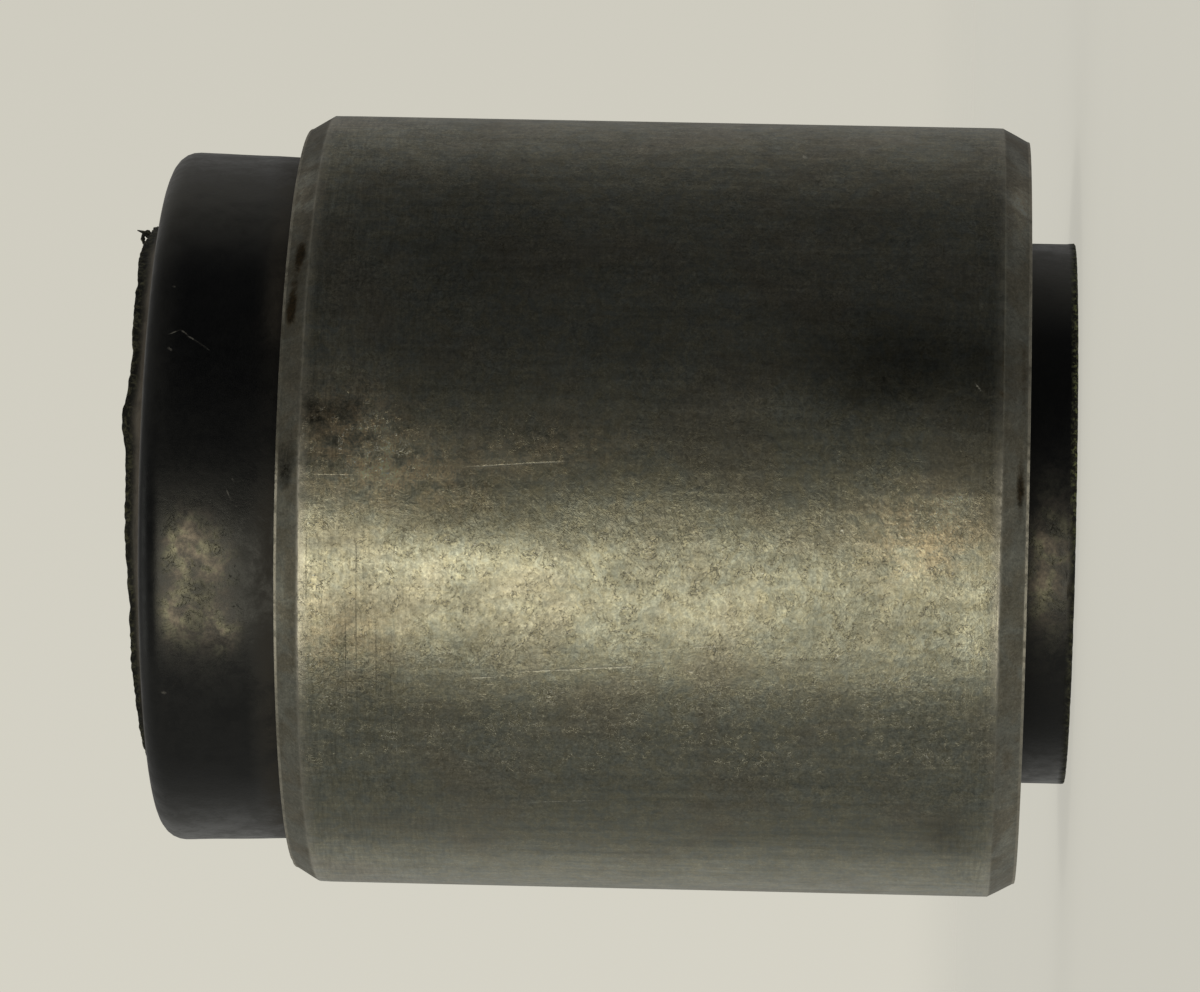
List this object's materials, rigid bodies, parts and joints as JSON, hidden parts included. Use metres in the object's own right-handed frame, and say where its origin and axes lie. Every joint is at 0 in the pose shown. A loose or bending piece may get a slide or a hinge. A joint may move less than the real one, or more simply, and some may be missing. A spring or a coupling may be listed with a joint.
{
  "type": "rubber metal bush",
  "caption": "Cylindrical rubber-metal bush: bare steel outer sleeve, bonded rubber body with a shoulder and end bosses, steel inner tube with a bolt bore.",
  "frame": {"origin": "centre of the lower boss's standing face, on the bush's axis", "axes": "+Z along the bush's axis, towards the end with the rubber shoulder; +X towards the side where the upper boss was trimmed highest"},
  "size_m": [0.045, 0.045, 0.0541],
  "materials": {
    "sleeve_steel": "bare turned steel, dull, with fine scratches and light rust",
    "black_rubber": "black moulded rubber, satin, worn to a tan bloom in places",
    "tube_steel": "bare machined steel"
  },
  "bodies": {
    "root": {"outer_sleeve": "sleeve_steel", "rubber_body": "black_rubber", "inner_tube": "tube_steel"}
  },
  "joints": []
}
